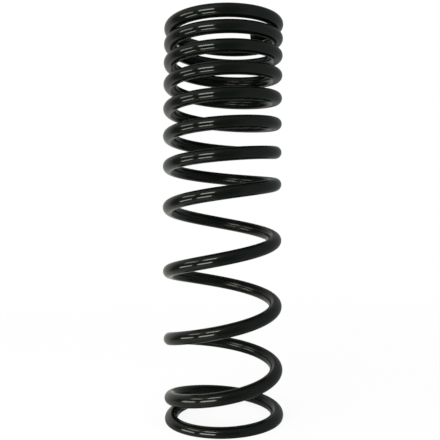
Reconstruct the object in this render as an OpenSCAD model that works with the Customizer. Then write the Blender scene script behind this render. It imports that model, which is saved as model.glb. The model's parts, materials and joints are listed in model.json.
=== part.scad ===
// Progressive-rate suspension spring, wound right-hand from one bar of round wire.
// The origin is the centre of the ground seat, and the spring stands on it with +Z up.
// The bottom turn is closed and ground, the wide turns carry the main rate, and the close
// turns above them shut one after another as the load grows.

/* [Wire] */
// Diameter of the coated wire
wire_d = 8.6; // [7.5:0.1:9.5]
// Edge bevel where the wire was cut off at both tips
tip_bevel = 0.6; // [0.2:0.1:1.2]

/* [Coil] */
// Clear diameter inside the turns, which slips over the spring seats
inside_d = 63.5; // [55:0.5:80]
// Number of turns from tip to tip
turns = 11.79; // [10.5:0.01:13]
// Compass angle of the bottom tip, counter-clockwise from +X
tip_angle = 129; // [0:1:359]
// How far the middle of the free spring stands to one side of a line between its ends
axis_bow = 1.4; // [0:0.1:3]

/* [Pitch, in millimetres for each turn] */
// Pitch where the wide turns begin, above the closed turn
first_pitch = 35; // [30:0.5:40]
// Pitch in the middle of the wide turns
main_pitch = 46.8; // [40:0.2:50]
// Pitch where the wide turns end
last_pitch = 41.5; // [32:0.5:45]
// Pitch where the close turns begin
close_pitch = 22; // [16:0.5:26]

/* [Places along the wire, in turns from the bottom tip] */
// End of the closed turn's even lead
seat_turns = 0.53; // [0.45:0.01:0.65]
// Start of the wide turns
wide_start = 1.05; // [1:0.01:1.3]
// Middle of the wide turns
wide_middle = 2.6; // [2.3:0.05:3]
// End of the wide turns
wide_end = 4.1; // [3.8:0.05:4.4]
// Start of the close turns
close_start = 4.8; // [4.6:0.05:5.2]

/* [Ends] */
// Gap between the bottom tip and the turn above it
seat_gap = 0.3; // [0.2:0.05:0.8]
// Gap between the top tip and the turn below it
top_gap = 0.65; // [0.2:0.05:1.5]
// Depth ground off the wire at the bottom tip
ground_depth = 3.4; // [1:0.1:4]

/* [Hidden] */
// Flats around the wire and sections along one turn
WIRE_SIDES = 12;
TURN_STEPS = 40;

wire_r = wire_d / 2;
coil_r = (inside_d + wire_d) / 2;
start = tip_angle / 360;

// The wide turns' pitch is a broken line. Its first stretch is the lead at which the second
// turn clears the tip by seat_gap, and its last one ends at the lead that leaves top_gap.
to_second_turn = (1 - seat_turns) / (wide_start - seat_turns);
seat_pitch = (wire_d + seat_gap - first_pitch * (1 - seat_turns) * to_second_turn / 2)
    / (seat_turns + (1 - seat_turns) * (1 - to_second_turn / 2));
last_turn = 1 / (turns - close_start);
end_pitch = (wire_d + top_gap - close_pitch * last_turn / 2) / (1 - last_turn / 2);

// Each entry is a place along the wire, in turns, and the pitch there
pitches = [
    [0, seat_pitch],
    [seat_turns, seat_pitch],
    [wide_start, first_pitch],
    [wide_middle, main_pitch],
    [wide_end, last_pitch],
    [close_start, close_pitch],
    [turns, end_pitch]
];

// Rise of the wire from the tip to a place u, which is the area under the pitch line
function rise(u, i = 0) =
    let(a = pitches[i], b = pitches[i + 1], span = min(u, b[0]) - a[0])
    span <= 0 ? 0
    : span * (a[1] + lookup(a[0] + span, pitches)) / 2 + (i + 2 < len(pitches) ? rise(u, i + 1) : 0);

tip_height = wire_r - ground_depth;
free_length = tip_height + rise(turns) + wire_r;
bend = 8 * axis_bow / pow(free_length, 2);

// The free spring's axis is an arc that starts upright and leans towards +X, and each turn
// stays square to it
function bowed(p) = [p.x + bend * p.z * p.z / 2, p.y, p.z - bend * p.x * p.z];

// Frame of the wire at a place u: its centre, the way out from the axis and the way across
function centre(u) = let(a = 360 * (start + u)) [coil_r * cos(a), coil_r * sin(a), tip_height + rise(u)];
function outward(u) = let(a = 360 * (start + u)) [cos(a), sin(a), 0];
function across(u) =
    let(a = 360 * (start + u), lead = atan2(lookup(u, pitches), 2 * PI * coil_r))
    [sin(a) * sin(lead), -cos(a) * sin(lead), cos(lead)];

// One section of the wire, a ring of points with the radius r
function section(u, r) = [
    for (i = [0:WIRE_SIDES - 1])
    let(a = 360 * i / WIRE_SIDES)
    bowed(centre(u) + r * cos(a) * outward(u) + r * sin(a) * across(u))
];

// Sections stand at even compass angles, and the two at each tip make its bevel
bevel_turns = tip_bevel / (2 * PI * coil_r);
first_step = ceil((start + 2 * bevel_turns) * TURN_STEPS);
last_step = floor((start + turns - 2 * bevel_turns) * TURN_STEPS);
stations = [
    [0, wire_r - tip_bevel],
    [bevel_turns, wire_r],
    for (i = [first_step:last_step]) [i / TURN_STEPS - start, wire_r],
    [turns - bevel_turns, wire_r],
    [turns, wire_r - tip_bevel]
];

module wound_wire() {
    points = [for (s = stations) each section(s[0], s[1])];
    last = (len(stations) - 1) * WIRE_SIDES;
    sides = [
        for (j = [0:len(stations) - 2])
        for (i = [0:WIRE_SIDES - 1])
        let(k = (i + 1) % WIRE_SIDES, a = j * WIRE_SIDES, b = a + WIRE_SIDES)
        each [[a + i, b + k, a + k], [a + i, b + i, b + k]]
    ];
    tip = [for (i = [0:WIRE_SIDES - 1]) i];
    end = [for (i = [WIRE_SIDES - 1:-1:0]) last + i];
    polyhedron(points, concat(sides, [tip], [end]));
}

// The stretch of the end turn that stands below the seat plane
module ground_off() {
    width = inside_d + 3 * wire_d;
    translate([-width / 2, -width / 2, -2 * wire_d]) cube([width, width, 2 * wire_d]);
}

module coil_spring() {
    color("#1b1d1d") difference() {
        wound_wire();
        ground_off();
    }
}

coil_spring();
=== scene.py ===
import json
import math

import bpy
import numpy as np
from bpy.props import FloatProperty, FloatVectorProperty, PointerProperty
from mathutils import Matrix, Vector


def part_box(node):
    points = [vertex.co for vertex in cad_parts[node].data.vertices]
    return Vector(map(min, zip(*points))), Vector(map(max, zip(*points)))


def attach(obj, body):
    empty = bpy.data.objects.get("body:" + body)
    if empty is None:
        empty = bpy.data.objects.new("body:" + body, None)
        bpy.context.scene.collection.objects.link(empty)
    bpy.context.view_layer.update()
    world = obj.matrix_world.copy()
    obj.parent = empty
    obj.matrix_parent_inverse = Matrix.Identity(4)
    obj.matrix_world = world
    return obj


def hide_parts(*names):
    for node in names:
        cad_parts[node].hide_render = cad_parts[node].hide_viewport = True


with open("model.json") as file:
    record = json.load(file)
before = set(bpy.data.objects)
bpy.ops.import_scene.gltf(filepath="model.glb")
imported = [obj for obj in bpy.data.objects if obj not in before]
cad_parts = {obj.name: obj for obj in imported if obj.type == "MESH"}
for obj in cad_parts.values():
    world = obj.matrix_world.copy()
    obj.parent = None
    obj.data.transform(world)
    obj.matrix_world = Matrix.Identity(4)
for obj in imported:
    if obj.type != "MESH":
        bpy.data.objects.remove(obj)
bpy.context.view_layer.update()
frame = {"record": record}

bl_info = {
    "name": "Suspension Spring",
    "version": (1, 0, 0),
    "blender": (4, 5, 0),
    "location": "View3D > Sidebar > Spring",
    "description": "A progressive-rate coil spring in gloss black powder coat, on a pale studio floor",
    "category": "Add Mesh",
}

MM = 0.001
WHITE = (1, 1, 1, 1)

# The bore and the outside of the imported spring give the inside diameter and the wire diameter
NODE = "coil_spring"
BORE = next(mount for mount in frame["record"]["mounts"] if mount["name"] == "guide_bore")
BORE_RADIUS = BORE["dims"]["r_mm"] * MM
WIRE_D = round(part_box(NODE)[1].y - BORE_RADIUS, 6)

# Faces round the wire, sections along one turn and rings in the rounded edge of each cut tip
WIRE_SIDES = 54
TURN_STEPS = 144
EDGE_RINGS = 6
# Rings across the cut face of a tip, as shares of its radius
FACE_RINGS = (0.75, 0.45, 0.18)
# Each point of the mesh keeps its place in the straight wire, before it was wound, under this name
STRAIGHT_WIRE = "straight_wire"
# The map that paint and baking use. Each turn of the wire is one row of it, with a margin round it.
# The end of the last row is kept free for the middles of the two cut faces
WIRE_MAP = "OFBake"
ROW_LENGTH, ROW_WIDTH = 0.98, 0.92
TIP_ROOM = 0.15
TIP_PLACES = (0.90, 0.95)

# The inside of the turns, as distances outwards from the middle of the wire: from the first one on
# the coat gets duller, and from the second one on it is as dull as it gets
INSIDE_STARTS, INSIDE_FULL = -0.2 * WIRE_D, -0.4 * WIRE_D
# Index of refraction of a polyester film, and the shader's usual level of mirroring for it
COAT_IOR = 1.5
COAT_SPECULAR = 0.5
# Heights over the ground up to which the ground seat's finish is full, and where it ends
SEAT_FULL, SEAT_ENDS = 0.02 * MM, 0.2 * MM
# Length, width and depth of the grinding marks on the seat
MARK_LENGTH, MARK_WIDTH, MARK_DEPTH = 30 * MM, 0.5 * MM, 0.02 * MM

# Radius of the paper floor, the radii between which it fades out, and the width of its uneven tone
PAPER_RADIUS = 1.2
FADE_STARTS, FADE_ENDS = 0.15, 0.9
FIBRE_WIDTH = 8 * MM
# Radius of the tent's dome, steps round it, degrees from one ring of the dome to the next, and how
# far the tent's floor lies over the paper
TENT_RADIUS = 3.0
TENT_STEPS = 72
DOME_STEP = 5
TENT_LIFT = 0.05 * MM
# Rings of the tent's floor: radius, share of the wall's painted grey and share of the painted light
# from the panes. Close to the spring the floor keeps its own grey, the painted light of the paper as a
# gloss sees it, and further out lies a painted pool of pane light
FLOOR_RINGS = (
    (0.01, 0, 0.4),
    (0.06, 0.2, 0.6),
    (0.1, 0.5, 1.4),
    (0.15, 0.9, 1.6),
    (0.25, 1.06, 0),
    (1, 1.06, 0),
)
# Degrees over the ground at which the wall's painted grey has turned into the roof's, and the degrees
# at which the share of the painted light from the panes is given
WALL_ENDS = 56
SPILL_AT, SPILL_SHARES = (20, 35, 50, 75), (0, 1.1, 1, 0)
# Each point of the tent keeps its painted light, the colour of the lit cloth, under this name
LIT_CLOTH = "lit_cloth"

# Width of the camera's sensor in millimetres, and the nearest and farthest distance that it sees
SENSOR_WIDTH = 36
NEAREST, FARTHEST = 0.01, 50


def linear(hex_colour):
    """An sRGB hex colour as linear red, green and blue, by the curve of the sRGB standard"""
    channels = [int(hex_colour[i:i + 2], 16) / 255 for i in (1, 3, 5)]
    return tuple(c / 12.92 if c <= 0.04045 else ((c + 0.055) / 1.055) ** 2.4 for c in channels)


def length(name, description, default):
    """A length that a user can change"""
    return FloatProperty(
        name=name, description=description, default=default, min=0, unit="LENGTH", precision=5
    )


def angle(name, description, default):
    """An angle that a user can change"""
    return FloatProperty(name=name, description=description, default=default, subtype="ANGLE")


def along_wire(name, description, default):
    """A place along the wire that a user can change, in turns from the bottom tip"""
    return FloatProperty(name=name, description=description, default=default)


def level(name, description, default):
    """A plain number from 0 up that a user can change: a roughness, a share, a grey or a brightness"""
    return FloatProperty(name=name, description=description, default=default, min=0)


def colour(name, description, hex_colour):
    """A colour that a user can change"""
    shade = linear(hex_colour)
    return FloatVectorProperty(
        name=name, description=description, default=shade, size=3, min=0, max=1, subtype="COLOR"
    )


class SpringSizes(bpy.types.PropertyGroup):
    """Sizes of the wound wire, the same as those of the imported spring"""

    wire_d: length("Wire Diameter", "Diameter of the coated wire", WIRE_D)
    inside_d: length("Inside Diameter", "Clear diameter inside the turns", 2 * BORE_RADIUS)
    turns: FloatProperty(
        name="Turns", description="Number of turns from tip to tip", default=11.79, min=10.5
    )
    tip_angle: angle(
        "Tip Angle", "Compass angle of the bottom tip, counter-clockwise from +X", math.radians(129)
    )
    axis_bow: length("Axis Bow", "How far the middle stands beside a line between the ends", 1.4 * MM)
    first_pitch: length("First Pitch", "Pitch where the wide turns begin", 35 * MM)
    main_pitch: length("Main Pitch", "Pitch in the middle of the wide turns", 46.8 * MM)
    last_pitch: length("Last Pitch", "Pitch where the wide turns end", 41.5 * MM)
    close_pitch: length("Close Pitch", "Pitch where the close turns begin", 22 * MM)
    seat_turns: along_wire("Seat Turns", "End of the closed turn's even lead", 0.53)
    wide_start: along_wire("Wide Start", "Start of the wide turns", 1.05)
    wide_middle: along_wire("Wide Middle", "Middle of the wide turns", 2.6)
    wide_end: along_wire("Wide End", "End of the wide turns", 4.1)
    close_start: along_wire("Close Start", "Start of the close turns", 4.8)
    seat_gap: length("Seat Gap", "Gap between the bottom tip and the turn above it", 0.3 * MM)
    top_gap: length("Top Gap", "Gap between the top tip and the turn below it", 0.65 * MM)
    ground_depth: length("Ground Depth", "Depth ground off the wire at the bottom tip", 3.4 * MM)
    tip_edge: length("Tip Edge", "Radius of the edge round each cut tip", 0.6 * MM)
    seat_edge: length("Seat Edge", "Height over which the ground seat's edge is rounded", 0.35 * MM)


class CoatLook(bpy.types.PropertyGroup):
    """Colours and surface of the black coat"""

    black: colour("Black", "Colour of the coat", "#040804")
    thin_black: colour("Thin Black", "Colour of the coat where draw lines show through it", "#090d09")
    roughness: level("Roughness", "Roughness of the cured gloss coat", 0.11)
    haze: level("Haze", "How much the roughness wanders over the surface", 0.05)
    inside_roughness: level("Inside Roughness", "How much rougher the coat is inside the turns", 0.1)
    inside_gloss: level("Inside Gloss", "Share of its gloss that the coat keeps inside the turns", 0.74)
    seat_roughness: level("Seat Roughness", "How much rougher the coat is on the ground seat", 0.14)
    peel_width: length("Peel Width", "Width of one orange-peel dimple in the coat", 2.6 * MM)
    peel_depth: length("Peel Depth", "Depth of the orange peel", 0.002 * MM)
    line_width: length("Line Width", "Width of one draw line of the wire", 0.9 * MM)
    line_length: length("Line Length", "Length of one draw line of the wire", 70 * MM)
    line_depth: length("Line Depth", "Depth of the draw lines that show in the coat", 0.0015 * MM)


class StudioLook(bpy.types.PropertyGroup):
    """Camera, floor, lamp panes and tent"""

    camera_distance: length("Camera Distance", "Distance from camera to the spring's axis", 403.6 * MM)
    camera_side: length("Camera Side", "How far right of the axis the camera stands", 1.6 * MM)
    camera_height: length("Camera Height", "Height of the camera above the floor", 137.4 * MM)
    camera_pan: angle("Pan", "Turn to the left", 0.0039)
    camera_tilt: angle("Tilt", "Turn downwards", 0.006)
    camera_roll: angle("Roll", "Turn about the line of sight", -0.021)
    lens: FloatProperty(
        name="Lens", description="Focal length in millimetres on a 36 mm sensor", default=48.31
    )
    floor: colour("Floor", "Colour of the paper floor", "#f7f7f6")
    ambient: level("Ambient", "Light from the room on every surface", 0.85)
    floor_white: level("Floor White", "Share of the floor's light that is plain white", 0.9)
    near_low_pane: level("Near Low Pane", "Brightness of the low pane next to the camera", 8.0)
    near_high_pane: level("Near High Pane", "Brightness of the high pane next to the camera", 9.1)
    far_low_pane: level("Far Low Pane", "Brightness of the low pane on the far left", 5.7)
    far_high_pane: level("Far High Pane", "Brightness of the high pane on the far left", 4.0)
    warm_tint: colour("Warm Tint", "Tint of the lamp panes and of the tent on the left", "#fdfff7")
    cool_tint: colour("Cool Tint", "Tint of the tent on the right", "#f6fffb")
    # The tent's settings are painted light, shown only in reflections: the spills are painted pane
    # light, the greys of walls, roof and floor are painted light levels rather than dyes, and the lean
    # paints the roof lighter in front and darker at the back
    near_spill: level("Near Spill", "Light on the tent round the panes next to the camera", 0.26)
    far_spill: level("Far Spill", "Light on the tent round the panes on the far left", 0.2)
    wall_front: level("Front Wall", "Grey of the tent from the camera round to the left", 0.11)
    wall_right: level("Right Wall", "Grey of the tent on the right", 0.26)
    wall_left_back: level("Left Back Wall", "Grey of the tent at the back on the left", 0.56)
    wall_back: level("Back Wall", "Grey of the tent behind the spring", 0.16)
    roof: level("Roof", "Grey of the tent above the spring", 0.17)
    roof_lean: level("Roof Lean", "How much lighter the roof is in front and darker at the back", 0.08)
    tent_floor: level("Tent Floor", "Grey of the tent's floor close to the spring", 0.26)


def pitch_line(s):
    """Places along the wire, in turns from the bottom tip, and the pitch at each. The first pitch is
    the lead at which the second turn clears the tip by the seat gap, and the last one is the lead
    that leaves the top gap"""
    seat_rest = 1 - s.seat_turns
    to_second_turn = seat_rest / (s.wide_start - s.seat_turns)
    wide_part = s.first_pitch * seat_rest * to_second_turn / 2
    closed_part = s.seat_turns + seat_rest * (1 - to_second_turn / 2)
    seat_pitch = (s.wire_d + s.seat_gap - wide_part) / closed_part
    last_turn = 1 / (s.turns - s.close_start)
    end_pitch = (s.wire_d + s.top_gap - s.close_pitch * last_turn / 2) / (1 - last_turn / 2)
    line = (
        (0, seat_pitch),
        (s.seat_turns, seat_pitch),
        (s.wide_start, s.first_pitch),
        (s.wide_middle, s.main_pitch),
        (s.wide_end, s.last_pitch),
        (s.close_start, s.close_pitch),
        (s.turns, end_pitch),
    )
    return np.array(line).T


def rise(u, s):
    """Height that the wire gains from the bottom tip to the places u: the area under the pitch line"""
    places, pitches = pitch_line(s)
    stretches = np.diff(places) * (pitches[1:] + pitches[:-1]) / 2
    at_corners = np.concatenate([[0], np.cumsum(stretches)])
    i = np.clip(np.searchsorted(places, u, side="right") - 1, 0, len(places) - 2)
    return at_corners[i] + (u - places[i]) * (pitches[i] + np.interp(u, places, pitches)) / 2


def ground(z, edge):
    """The heights z once the end turn is ground flat at 0, with its corner rounded over the height
    edge"""
    rounded = (z + edge) ** 2 / (4 * edge)
    return np.where(z >= edge, z, np.where(z <= -edge, 0, rounded))


def wound(u, reach, turned, s):
    """Points of the wound wire at the places u, at the distance reach from its centre line.
    turned is the angle round the wire, from the outside of the coil over its top"""
    wire_r = s.wire_d / 2
    coil_r = (s.inside_d + s.wire_d) / 2
    tip_height = wire_r - s.ground_depth
    free_length = tip_height + rise(np.array([s.turns]), s)[0] + wire_r
    # Curvature of an arc whose middle stands out by axis_bow between ends free_length apart
    bend = 8 * s.axis_bow / free_length ** 2
    compass = s.tip_angle + 2 * math.pi * u
    lead = np.arctan2(np.interp(u, *pitch_line(s)), 2 * math.pi * coil_r)
    out, over = reach * np.cos(turned), reach * np.sin(turned)
    x = (coil_r + out) * np.cos(compass) + over * np.sin(compass) * np.sin(lead)
    y = (coil_r + out) * np.sin(compass) - over * np.cos(compass) * np.sin(lead)
    z = tip_height + rise(u, s) + over * np.cos(lead)
    # The free spring's axis is an arc that starts upright and leans towards +X
    bowed = np.stack([x + bend * z * z / 2, y, z - bend * x * z], axis=-1)
    bowed[..., 2] = ground(bowed[..., 2], s.seat_edge)
    return bowed


def check_sizes(s):
    """Stops with a plain message where the sizes can't make a spring"""
    if s.ground_depth >= s.wire_d / 2:
        raise ValueError("Ground Depth has to be less than half of Wire Diameter")
    places = pitch_line(s)[0]
    if np.any(np.diff(places) <= 0) or s.turns - s.close_start <= 0.5:
        raise ValueError(
            "The places along the wire have to follow each other, up to half a turn before its end"
        )


def stations(s):
    """Places of the sections along the wire, in turns, and the wire's radius at each. The first and
    the last ones make the cut faces and their rounded edges"""
    wire_r = s.wire_d / 2
    edge_turns = s.tip_edge / (math.pi * (s.inside_d + s.wire_d))
    bend = np.linspace(0, math.pi / 2, EDGE_RINGS)
    edge_at = edge_turns * (1 - np.cos(bend))
    edge_r = wire_r - s.tip_edge * (1 - np.sin(bend))
    face_r = edge_r[0] * np.array(FACE_RINGS[::-1])
    first = math.ceil(2 * edge_turns * TURN_STEPS)
    last = math.floor((s.turns - 2 * edge_turns) * TURN_STEPS)
    even = np.arange(first, last + 1) / TURN_STEPS
    u = np.concatenate([0 * face_r, edge_at, even, s.turns - edge_at[::-1], s.turns + 0 * face_r])
    radius = np.concatenate([face_r, edge_r, wire_r + 0 * even, edge_r[::-1], face_r[::-1]])
    return u, radius


def wire_mesh(s):
    """The wound wire as a mesh, with its cut faces, its map, and each point's place in the straight
    wire"""
    check_sizes(s)
    u, radius = stations(s)
    along = math.pi * (s.inside_d + s.wire_d)
    around = 2 * math.pi * np.arange(WIRE_SIDES) / WIRE_SIDES
    u_grid, reach, turned = np.broadcast_arrays(u[:, None], radius[:, None], around)
    points = wound(u_grid, reach, turned, s).reshape(-1, 3)
    straight = np.stack([reach * np.cos(turned), reach * np.sin(turned), u_grid * along], axis=-1)
    # The two points in the middle of the cut faces come last
    tips = np.array([0.0, s.turns])
    points = np.vstack([points, wound(tips, 0 * tips, 0 * tips, s)])
    straight = np.vstack([straight.reshape(-1, 3), np.outer(tips, [0, 0, along])])
    start_tip, end_tip = len(points) - 2, len(points) - 1

    # The map unrolls the cut faces as well, so a step across one counts as its width
    steps = np.hypot(np.diff(u), np.diff(radius) / along)
    places = np.concatenate([[0], np.cumsum(steps)])
    rows = math.ceil(places[-1] + TIP_ROOM)
    quads, corners = wire_quads(places, rows)
    fans, fan_corners = tip_fans(start_tip, end_tip, len(u), radius[0] / along, rows)
    mesh = bpy.data.meshes.new("coated_wire")
    mesh.from_pydata(points.tolist(), [], quads + fans)
    held = mesh.attributes.new(STRAIGHT_WIRE, "FLOAT_VECTOR", "POINT")
    held.data.foreach_set("vector", straight.astype(np.float32).ravel())
    layer = mesh.uv_layers.new(name=WIRE_MAP, do_init=False)
    layer.uv.foreach_set("vector", np.array(corners + fan_corners, np.float32).ravel())
    mesh.shade_smooth()
    mesh.validate()
    return mesh


def wire_quads(places, rows):
    """The four-sided faces between the sections, which lie at the places, and the faces' corners in
    the map"""
    quads, corners = [], []
    for j in range(len(places) - 1):
        row = int((places[j] + places[j + 1]) / 2)
        here, there = (0.5 + ROW_LENGTH * (place - row - 0.5) for place in places[j:j + 2])
        for k in range(WIRE_SIDES):
            a, b, following = j * WIRE_SIDES, (j + 1) * WIRE_SIDES, (k + 1) % WIRE_SIDES
            low = (row + ROW_WIDTH * k / WIRE_SIDES) / rows
            high = (row + ROW_WIDTH * (k + 1) / WIRE_SIDES) / rows
            quads.append((a + k, b + k, b + following, a + following))
            corners.extend([(here, low), (there, low), (there, high), (here, high)])
    return quads, corners


def tip_fans(start_tip, end_tip, sections, size, rows):
    """The triangles in the middle of the two cut faces, and their corners in the map, where they
    have the radius size and lie past the end of its last row"""
    last = (sections - 1) * WIRE_SIDES
    height = (rows - 0.5) / rows
    fans, corners = [], []
    for k in range(WIRE_SIDES):
        following = (k + 1) % WIRE_SIDES
        a, b = 2 * math.pi * k / WIRE_SIDES, 2 * math.pi * (k + 1) / WIRE_SIDES
        for place, face, turn in (
            (TIP_PLACES[0], (start_tip, k, following), (a, b)),
            (TIP_PLACES[1], (end_tip, last + following, last + k), (b, a)),
        ):
            fans.append(face)
            corners.append((place, height))
            corners.extend((place + size * math.cos(t), height + size * math.sin(t)) for t in turn)
    return fans, corners


def node(tree, kind, inputs=(), **settings):
    """Adds a node with its settings. inputs pairs a socket with a value, or with the output that is
    linked to it"""
    made = tree.nodes.new(kind)
    for name, value in settings.items():
        setattr(made, name, value)
    for socket, value in dict(inputs).items():
        if isinstance(value, bpy.types.NodeSocket):
            tree.links.new(value, made.inputs[socket])
        else:
            made.inputs[socket].default_value = value
    return made


def new_tree(name):
    """A new material and its empty node tree"""
    material = bpy.data.materials.new(name)
    material.use_nodes = True
    material.node_tree.nodes.clear()
    return material, material.node_tree


def gloss_black_powder_coat(look):
    """Polyester powder, sprayed on the drawn and coiled wire and baked. It cures to one even black
    film with a hard gloss, so lamps show in it as sharp lines. Faint orange peel makes their edges
    waver, and the wire's draw lines show through as fine streaks along it. The film is duller on
    the inside of the turns, and on the ground seat, over the grinding marks"""
    material, tree = new_tree("gloss_black_powder_coat")
    straight = node(tree, "ShaderNodeAttribute", attribute_name=STRAIGHT_WIRE).outputs["Vector"]

    # Orange peel is 2 to 3 mm wide on such a coat
    peel = node(
        tree, "ShaderNodeTexNoise", {"Vector": straight, "Scale": 1 / look.peel_width, "Detail": 1.0}
    )
    # Real draw lines are about 0.2 mm wide, and these are drawn coarser, as wide as a pixel or more,
    # so that they show
    stretch = (1 / look.line_width, 1 / look.line_width, 1 / look.line_length)
    pulled = node(tree, "ShaderNodeMapping", {"Vector": straight, "Scale": stretch})
    lines = node(
        tree, "ShaderNodeTexNoise", {"Vector": pulled.outputs["Vector"], "Scale": 1.0, "Detail": 2.0}
    )
    # The ground seat lies at the object's z = 0
    place = node(tree, "ShaderNodeTexCoord").outputs["Object"]
    height = node(tree, "ShaderNodeSeparateXYZ", {"Vector": place}).outputs["Z"]
    seat = node(
        tree, "ShaderNodeMapRange", {"Value": height, "From Min": SEAT_ENDS, "From Max": SEAT_FULL}
    ).outputs["Result"]
    # Grinding marks run straight across the seat
    stretch = (1 / MARK_LENGTH, 1 / MARK_WIDTH, 1.0)
    across = node(tree, "ShaderNodeMapping", {"Vector": place, "Scale": stretch})
    marks = node(
        tree, "ShaderNodeTexNoise", {"Vector": across.outputs["Vector"], "Scale": 1.0, "Detail": 2.0}
    )
    seat_marks = node(
        tree, "ShaderNodeMath", {0: marks.outputs["Fac"], 1: seat}, operation="MULTIPLY"
    ).outputs["Value"]

    tone = node(
        tree,
        "ShaderNodeMix",
        {"Factor": lines.outputs["Fac"], "A": (*look.black, 1), "B": (*look.thin_black, 1)},
        data_type="RGBA",
    )
    # The spray reaches the inside of the turns poorly, so the film is thin and grainy there, and
    # what it mirrors is softer and weaker
    outward = node(tree, "ShaderNodeSeparateXYZ", {"Vector": straight}).outputs["X"]
    inwards = {"Value": outward, "From Min": INSIDE_STARTS, "From Max": INSIDE_FULL}
    smoothest = look.roughness - look.haze / 2
    film_roughness = node(
        tree,
        "ShaderNodeMapRange",
        {**inwards, "To Min": smoothest, "To Max": smoothest + look.inside_roughness},
        interpolation_type="SMOOTHSTEP",
    ).outputs["Result"]
    film_specular = node(
        tree,
        "ShaderNodeMapRange",
        {**inwards, "To Min": COAT_SPECULAR, "To Max": COAT_SPECULAR * look.inside_gloss},
        interpolation_type="SMOOTHSTEP",
    ).outputs["Result"]
    duller = node(
        tree,
        "ShaderNodeMath",
        {0: seat, 1: look.seat_roughness, 2: film_roughness},
        operation="MULTIPLY_ADD",
    )
    rough = node(
        tree,
        "ShaderNodeMath",
        {0: lines.outputs["Fac"], 1: look.haze, 2: duller.outputs["Value"]},
        operation="MULTIPLY_ADD",
    )
    normal = node(
        tree, "ShaderNodeBump", {"Height": peel.outputs["Fac"], "Distance": look.peel_depth}
    ).outputs["Normal"]
    for bumps, depth in ((lines.outputs["Fac"], look.line_depth), (seat_marks, MARK_DEPTH)):
        normal = node(
            tree, "ShaderNodeBump", {"Height": bumps, "Distance": depth, "Normal": normal}
        ).outputs["Normal"]
    coat = node(
        tree,
        "ShaderNodeBsdfPrincipled",
        {
            "Base Color": tone.outputs["Result"],
            "Roughness": rough.outputs["Value"],
            "Metallic": 0.0,
            "IOR": COAT_IOR,
            "Specular IOR Level": film_specular,
            "Normal": normal,
        },
    )
    node(tree, "ShaderNodeOutputMaterial", {"Surface": coat.outputs["BSDF"]})
    return material


def seen(tree):
    """1 for a ray from the camera, from a gloss or through glass, and 0 for light on a matt surface"""
    path = node(tree, "ShaderNodeLightPath")
    total = node(
        tree,
        "ShaderNodeMath",
        {0: path.outputs["Is Camera Ray"], 1: path.outputs["Is Glossy Ray"]},
        operation="ADD",
    )
    return node(
        tree,
        "ShaderNodeMath",
        {0: total.outputs["Value"], 1: path.outputs["Is Transmission Ray"]},
        operation="ADD",
        use_clamp=True,
    ).outputs["Value"]


def white_room(look):
    """The world: a plain white backdrop where it is seen, and an even soft light on matt surfaces"""
    world = bpy.data.worlds.new("white_room")
    world.use_nodes = True
    tree = world.node_tree
    tree.nodes.clear()
    light = node(tree, "ShaderNodeBackground", {"Color": WHITE, "Strength": look.ambient})
    backdrop = node(tree, "ShaderNodeBackground", {"Color": WHITE, "Strength": 1.0})
    both = node(
        tree,
        "ShaderNodeMixShader",
        {0: seen(tree), 1: light.outputs["Background"], 2: backdrop.outputs["Background"]},
    )
    node(tree, "ShaderNodeOutputWorld", {"Surface": both.outputs["Shader"]})
    return world


def white_paper(look):
    """Matt white background paper, rolled out flat. It scatters light evenly, keeps a faint soft
    shadow where the spring stands, and fades into the white of the room farther out"""
    material, tree = new_tree("white_background_paper")
    place = node(tree, "ShaderNodeTexCoord").outputs["Object"]
    distance = node(tree, "ShaderNodeVectorMath", {0: place}, operation="LENGTH").outputs["Value"]
    fade = node(
        tree,
        "ShaderNodeMapRange",
        {"Value": distance, "From Min": FADE_STARTS, "From Max": FADE_ENDS},
        interpolation_type="SMOOTHSTEP",
    )
    # Paper fibre is too fine to show, so it is drawn coarser, as a tone that wanders faintly
    fibre = node(
        tree, "ShaderNodeTexNoise", {"Vector": place, "Scale": 1 / FIBRE_WIDTH, "Detail": 3.0}
    )
    tone = node(
        tree,
        "ShaderNodeMix",
        {"Factor": fibre.outputs["Fac"], "A": (*look.floor, 1), "B": WHITE},
        data_type="RGBA",
    )
    matt = node(tree, "ShaderNodeBsdfDiffuse", {"Color": tone.outputs["Result"], "Roughness": 0.5})
    glow = node(tree, "ShaderNodeEmission", {"Color": WHITE, "Strength": 1.0})
    share = node(tree, "ShaderNodeMath", {0: seen(tree), 1: look.floor_white}, operation="MULTIPLY")
    lit = node(
        tree,
        "ShaderNodeMixShader",
        {0: share.outputs["Value"], 1: matt.outputs["BSDF"], 2: glow.outputs["Emission"]},
    )
    clear = node(tree, "ShaderNodeBsdfTransparent", {"Color": WHITE})
    faded = node(
        tree,
        "ShaderNodeMixShader",
        {0: fade.outputs["Result"], 1: lit.outputs["Shader"], 2: clear.outputs["BSDF"]},
    )
    node(tree, "ShaderNodeOutputMaterial", {"Surface": faded.outputs["Shader"]})
    return material


def painted_light_cloth():
    """Stands in for woven grey cotton, stretched over a frame, as a glowing sheet: its greys are
    painted light, which a gloss mirrors as soft painted reflections. Its mesh holds the painted light
    of the cloth at each point"""
    material, tree = new_tree("painted_light_cloth")
    light = node(tree, "ShaderNodeAttribute", attribute_name=LIT_CLOTH).outputs["Color"]
    glow = node(tree, "ShaderNodeEmission", {"Color": light, "Strength": 1.0})
    node(tree, "ShaderNodeOutputMaterial", {"Surface": glow.outputs["Emission"]})
    # The tent lights nothing, so it isn't sampled as a lamp
    material.cycles.emission_sampling = "NONE"
    return material


def show(name, mesh, material):
    """A new object in the scene, in one material"""
    mesh.materials.append(material)
    piece = bpy.data.objects.new(name, mesh)
    bpy.context.scene.collection.objects.link(piece)
    return piece


def only_in_gloss(piece):
    """Lets a stage piece show in reflections alone, as a card does that stands outside the picture"""
    piece.visible_camera = False
    piece.visible_diffuse = False
    piece.visible_transmission = False
    piece.visible_volume_scatter = False
    piece.visible_shadow = False


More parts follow.
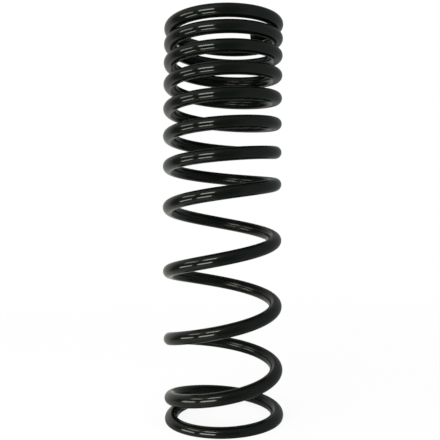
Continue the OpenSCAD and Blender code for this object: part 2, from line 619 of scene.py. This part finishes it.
def tent_rings(look):
    """The rings of the tent from the middle of its floor to the top of its dome: radius, height, own
    painted grey, the share of the wall's painted grey, the share of the painted light that spills from
    the lamp panes onto the cloth, and how much lighter the ring is painted towards the camera"""
    for radius, wall, spill in FLOOR_RINGS:
        yield radius, TENT_LIFT, look.tent_floor, wall, spill, 0
    for degrees in range(0, 90 + DOME_STEP, DOME_STEP):
        up = math.radians(degrees)
        radius, height = TENT_RADIUS * math.cos(up), TENT_RADIUS * math.sin(up) + TENT_LIFT
        wall = 1 - min(1, degrees / WALL_ENDS) ** 2
        spill = np.interp(degrees, SPILL_AT, SPILL_SHARES)
        # Painted light and shade: the roof is lighter towards the camera and darker at the back
        lean = look.roof_lean * (1 - wall) * math.cos(up)
        yield radius, height, look.roof, wall, spill, lean


def tent_mesh(look):
    """A round tent standing in for grey cloth, glowing with painted light and painted spill from the
    lamp panes, with a floor of its own over the paper
    """
    right, front, left, back = look.wall_right, look.wall_front, look.wall_left_back, look.wall_back
    near, far = look.near_spill, look.far_spill
    # Degrees from the camera round by the left, and at each of them the wall's painted grey, the
    # painted light that spills onto it from the panes, and the share of the warm tint
    turns = (-180, -164, -50, -22, 0, 20, 50, 60, 103, 121, 172, 180)
    walls = (back, right, right, front, front, front, front, front, front, left, left, back)
    spills = (0, 0, 0, 0, 0, near, near, far, far, 0, 0, 0)
    warmth = (0, 0, 0, 0.3, 0.8, 1, 1, 1, 1, 1, 1, 0)
    points, colours, faces = [], [], []
    for radius, height, own, wall_share, spill_share, lean in tent_rings(look):
        for side in np.linspace(-180, 180, TENT_STEPS + 1):
            away = math.radians(side)
            wall, spill, warm = (np.interp(side, turns, values) for values in (walls, spills, warmth))
            # Painted light of the point: its own grey, the wall's grey, the painted pane spill and the
            # painted lean
            grey = own + (wall - own) * wall_share + spill * spill_share + lean * math.cos(away)
            tint = Vector(look.cool_tint).lerp(Vector(look.warm_tint), warm)
            points.append((-radius * math.sin(away), -radius * math.cos(away), height))
            colours.extend((*(grey * tint), 1))
    row = TENT_STEPS + 1
    for i in range(len(points) // row - 1):
        for j in range(TENT_STEPS):
            a = i * row + j
            faces.append((a, a + 1, a + row + 1, a + row))
    mesh = bpy.data.meshes.new("painted_light_tent")
    mesh.from_pydata(points, [], faces)
    mesh.attributes.new(LIT_CLOTH, "FLOAT_COLOR", "POINT").data.foreach_set("color", colours)
    return mesh


def disc_mesh(name, radius, sides=96):
    """A flat round sheet at z = 0"""
    turns = [2 * math.pi * i / sides for i in range(sides)]
    rim = [(radius * math.cos(t), radius * math.sin(t), 0) for t in turns]
    mesh = bpy.data.meshes.new(name)
    mesh.from_pydata(rim, [], [tuple(range(sides))])
    return mesh


def hang_panes(look):
    """Four lamp panes, two above two, that shine on the spring from the left of the camera"""
    # Degrees from the camera round by the left, then in millimetres the distance from the axis, the
    # height of the middle, the width and the height
    panes = {
        "near_low_pane": (29, 270, 34, 128, 66, look.near_low_pane),
        "near_high_pane": (29, 316, 292, 149, 70, look.near_high_pane),
        "far_low_pane": (67.5, 301, 35, 144, 68, look.far_low_pane),
        "far_high_pane": (68, 360, 290, 174, 81, look.far_high_pane),
    }
    for name, (side, distance, middle, width, height, brightness) in panes.items():
        lamp = bpy.data.lights.new(name, "AREA")
        lamp.shape = "RECTANGLE"
        lamp.size, lamp.size_y = width * MM, height * MM
        lamp.color = look.warm_tint
        # An evenly bright sheet gives off pi times its brightness and its area
        lamp.energy = brightness * math.pi * lamp.size * lamp.size_y
        pane = bpy.data.objects.new(name, lamp)
        away = Vector((-math.sin(math.radians(side)), -math.cos(math.radians(side)), 0))
        pane.location = distance * MM * away + Vector((0, 0, middle * MM))
        pane.rotation_euler = away.to_track_quat("Z", "Y").to_euler()
        pane.visible_camera = False
        bpy.context.scene.collection.objects.link(pane)


def place_camera(look):
    """The camera, level with the middle of the spring and looking along +Y"""
    data = bpy.data.cameras.new("camera")
    data.lens, data.sensor_width = look.lens, SENSOR_WIDTH
    data.clip_start, data.clip_end = NEAREST, FARTHEST
    camera = bpy.data.objects.new("camera", data)
    spot = Matrix.Translation((look.camera_side, -look.camera_distance, look.camera_height))
    turn = (
        Matrix.Rotation(look.camera_pan, 4, "Z")
        @ Matrix.Rotation(-look.camera_tilt, 4, "X")
        @ Matrix.Rotation(-look.camera_roll, 4, "Y")
        @ Matrix.Rotation(math.pi / 2, 4, "X")
    )
    camera.matrix_world = spot @ turn
    bpy.context.scene.collection.objects.link(camera)
    bpy.context.scene.camera = camera


class SPRING_OT_coated_wire(bpy.types.Operator):
    """Wind the wire of the spring and coat it in gloss black"""

    bl_idname = "spring.coated_wire"
    bl_label = "Coated Wire"
    bl_options = {"REGISTER", "UNDO"}

    def execute(self, context):
        sizes, look = context.scene.spring_sizes, context.scene.spring_coat
        wire = show("coated_wire", wire_mesh(sizes), gloss_black_powder_coat(look))
        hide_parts(NODE)
        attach(wire, "root")
        return {"FINISHED"}


class SPRING_OT_studio(bpy.types.Operator):
    """Set up the camera, the paper floor, the white room, the tent of painted light and the lamp panes
    """

    bl_idname = "spring.studio"
    bl_label = "Studio"
    bl_options = {"REGISTER", "UNDO"}

    def execute(self, context):
        look = context.scene.spring_studio
        place_camera(look)
        context.scene.view_settings.view_transform = "Standard"
        context.scene.world = white_room(look)
        paper = show("paper_floor", disc_mesh("paper_floor", PAPER_RADIUS), white_paper(look))
        tent = show("painted_light_tent", tent_mesh(look), painted_light_cloth())
        # The tent shows only in the gloss, as painted reflections
        only_in_gloss(tent)
        hang_panes(look)
        return {"FINISHED"}


class SPRING_PT_panel(bpy.types.Panel):
    """The spring's sizes, coat and studio"""

    bl_label = "Suspension Spring"
    bl_idname = "SPRING_PT_panel"
    bl_space_type = "VIEW_3D"
    bl_region_type = "UI"
    bl_category = "Spring"

    def draw(self, context):
        for group, operator in GROUPS:
            box = self.layout.box()
            settings = getattr(context.scene, group)
            for name in settings.bl_rna.properties.keys():
                if name not in ("rna_type", "name"):
                    box.prop(settings, name)
            if operator:
                box.operator(operator)


# Each group of settings, and the operator that the panel shows under it
GROUPS = (
    ("spring_sizes", None),
    ("spring_coat", "spring.coated_wire"),
    ("spring_studio", "spring.studio"),
)
CLASSES = (
    SpringSizes,
    CoatLook,
    StudioLook,
    SPRING_OT_coated_wire,
    SPRING_OT_studio,
    SPRING_PT_panel,
)


def register():
    for each in CLASSES:
        bpy.utils.register_class(each)
    bpy.types.Scene.spring_sizes = PointerProperty(type=SpringSizes)
    bpy.types.Scene.spring_coat = PointerProperty(type=CoatLook)
    bpy.types.Scene.spring_studio = PointerProperty(type=StudioLook)


def unregister():
    del bpy.types.Scene.spring_sizes, bpy.types.Scene.spring_coat, bpy.types.Scene.spring_studio
    for each in reversed(CLASSES):
        bpy.utils.unregister_class(each)


def main():
    register()
    bpy.ops.spring.coated_wire()
    bpy.ops.spring.studio()


if __name__ == "__main__":
    main()
